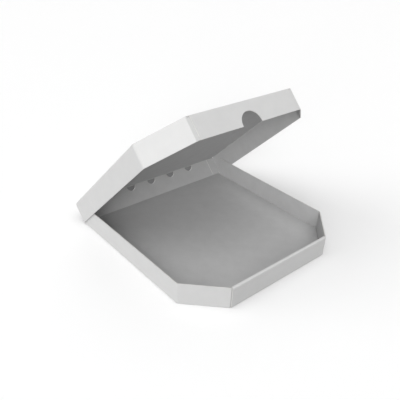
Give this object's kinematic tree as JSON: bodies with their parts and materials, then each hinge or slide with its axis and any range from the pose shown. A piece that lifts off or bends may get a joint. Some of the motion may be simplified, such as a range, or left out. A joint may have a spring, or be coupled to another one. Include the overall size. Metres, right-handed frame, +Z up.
{
  "type": "pizza box",
  "caption": "Folding white cardboard pizza box with cut front corners, standing open, its rigid tray lid hinged on the crease along the back of the base.",
  "frame": {"origin": "centre of the tray's underside, on the surface it stands on", "axes": "+Z up, -Y towards the front wall that faces the user, +X to the right along the hinge crease"},
  "size_m": [0.3344, 0.356, 0.2622],
  "materials": {
    "board": "matt white paper liners on fine fluted board, raw cut edges"
  },
  "bodies": {
    "tray": {"tray": "board"},
    "lid": {"lid": "board"}
  },
  "joints": [
    {"name": "lid_hinge", "type": "hinge", "parent": "tray", "child": "lid", "pos_m": [0, 0.1642, 0.0008], "axis": [-1, 0, 0], "range_deg": [-44.5, 39.5]}
  ]
}
